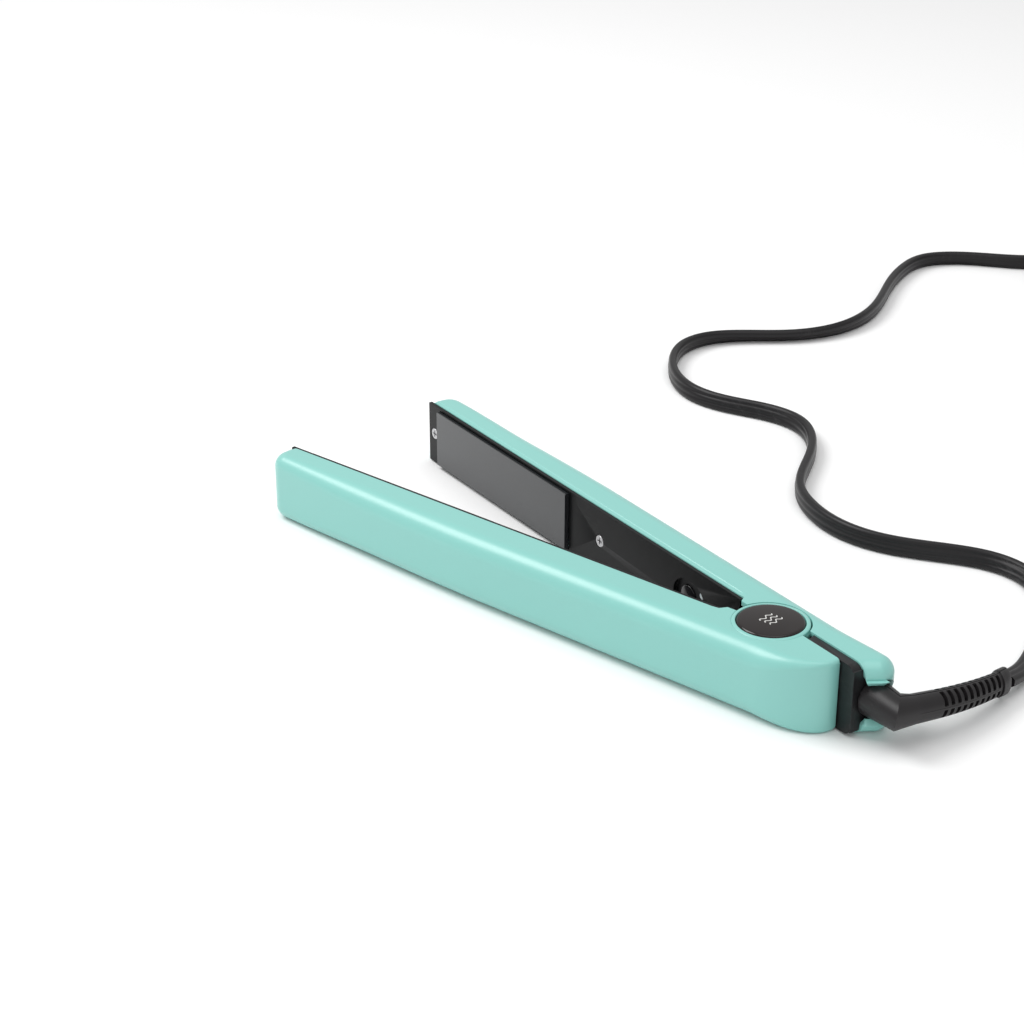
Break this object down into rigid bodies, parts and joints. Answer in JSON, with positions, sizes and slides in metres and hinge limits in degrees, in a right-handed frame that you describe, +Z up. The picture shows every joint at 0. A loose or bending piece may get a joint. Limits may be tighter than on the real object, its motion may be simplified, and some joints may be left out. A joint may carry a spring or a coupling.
{
  "type": "hair straightener",
  "caption": "Flat iron with two hinged mint arms, floating heating plates, a power button, a swivelling cord boot and a flat cord that ends in a tied coil and a plug.",
  "frame": {"origin": "on the hinge axis, at the surface that the straightener lies on", "axes": "+Z up along the hinge axis, +X along the fixed arm from the hinge to its tip, +Y towards the moving arm"},
  "size_m": [0.3611, 0.5525, 0.0281],
  "materials": {
    "mint_plastic": "satin, moulded, faint pearl",
    "black_plastic": "fine satin",
    "dark_nylon": "smooth",
    "brass": "polished",
    "heat_board": "dry, fibrous",
    "silicone": "soft silicone",
    "plate_ceramic": "ceramic coat on aluminium, gloss",
    "heater": "polyimide film over ceramic",
    "circuit_board": "solder mask",
    "components": "moulded",
    "button_plastic": "gloss",
    "clear_lens": "clear",
    "sensor": "glazed",
    "wire": "woven glass sleeve",
    "steel": "plated",
    "cap_gloss": "high gloss, brown black",
    "boot_rubber": "satin",
    "cord_rubber": "satin, ribbed",
    "tie_rubber": "matte"
  },
  "bodies": {
    "fixed_arm": {"fixed_shell": "mint_plastic", "fixed_liner": "black_plastic", "hinge_knuckle": "black_plastic", "tail_block": "black_plastic", "swivel_socket": "dark_nylon", "brush_contacts": "brass", "fixed_heat_shield": "heat_board", "fixed_cushions": "silicone", "control_board": "circuit_board", "board_components": "components", "button_switch": "components", "indicator_lens": "clear_lens", "thermal_fuse": "sensor", "fixed_leads": "wire", "fixed_screws": "steel", "hinge_bushes": "brass", "cord": "cord_rubber", "cord_coil": "cord_rubber", "cord_end": "cord_rubber", "cord_tie": "tie_rubber", "plug_body": "boot_rubber", "plug_blades": "brass", "opening_spring": "steel"},
    "moving_arm": {"moving_shell": "mint_plastic", "moving_liner": "black_plastic", "moving_heat_shield": "heat_board", "moving_cushions": "silicone", "thermistor": "sensor", "moving_leads": "wire", "moving_screws": "steel", "hinge_pin": "steel", "cap_top": "cap_gloss", "cap_bottom": "cap_gloss"},
    "fixed_plate_unit": {"fixed_plate": "plate_ceramic", "fixed_heater": "heater"},
    "moving_plate_unit": {"moving_plate": "plate_ceramic", "moving_heater": "heater"},
    "power_button": {"power_button": "button_plastic"},
    "cord_swivel": {"swivel_spool": "dark_nylon", "slip_rings": "brass", "cord_boot": "boot_rubber"}
  },
  "joints": [
    {"name": "arm_hinge", "type": "hinge", "parent": "fixed_arm", "child": "moving_arm", "pos_m": [0, 0, 0.0135], "axis": [0, 0, -1], "range_deg": [0, 16.4], "stiffness_Nm_per_rad": 1, "springref_deg": -20.05, "deforming": ["opening_spring"]},
    {"name": "fixed_plate_float", "type": "slide", "parent": "fixed_arm", "child": "fixed_plate_unit", "axis": [0, -1, 0], "range_m": [0, 0.0008], "stiffness_N_per_m": 3000, "springref_m": -0.0002, "deforming": ["fixed_cushions"]},
    {"name": "moving_plate_float", "type": "slide", "parent": "moving_arm", "child": "moving_plate_unit", "axis": [-0.2823, 0.9593, 0], "range_m": [0, 0.0008], "stiffness_N_per_m": 3000, "springref_m": -0.0002, "deforming": ["moving_cushions"]},
    {"name": "power_button", "type": "slide", "parent": "fixed_arm", "child": "power_button", "axis": [0, -1, 0], "range_m": [0, 0.0008], "stiffness_N_per_m": 800, "springref_m": -0.0005},
    {"name": "cord_swivel", "type": "hinge", "parent": "fixed_arm", "child": "cord_swivel", "pos_m": [-0.0415, -0.0118, 0.0135], "axis": [1, 0, 0], "continuous": true}
  ]
}
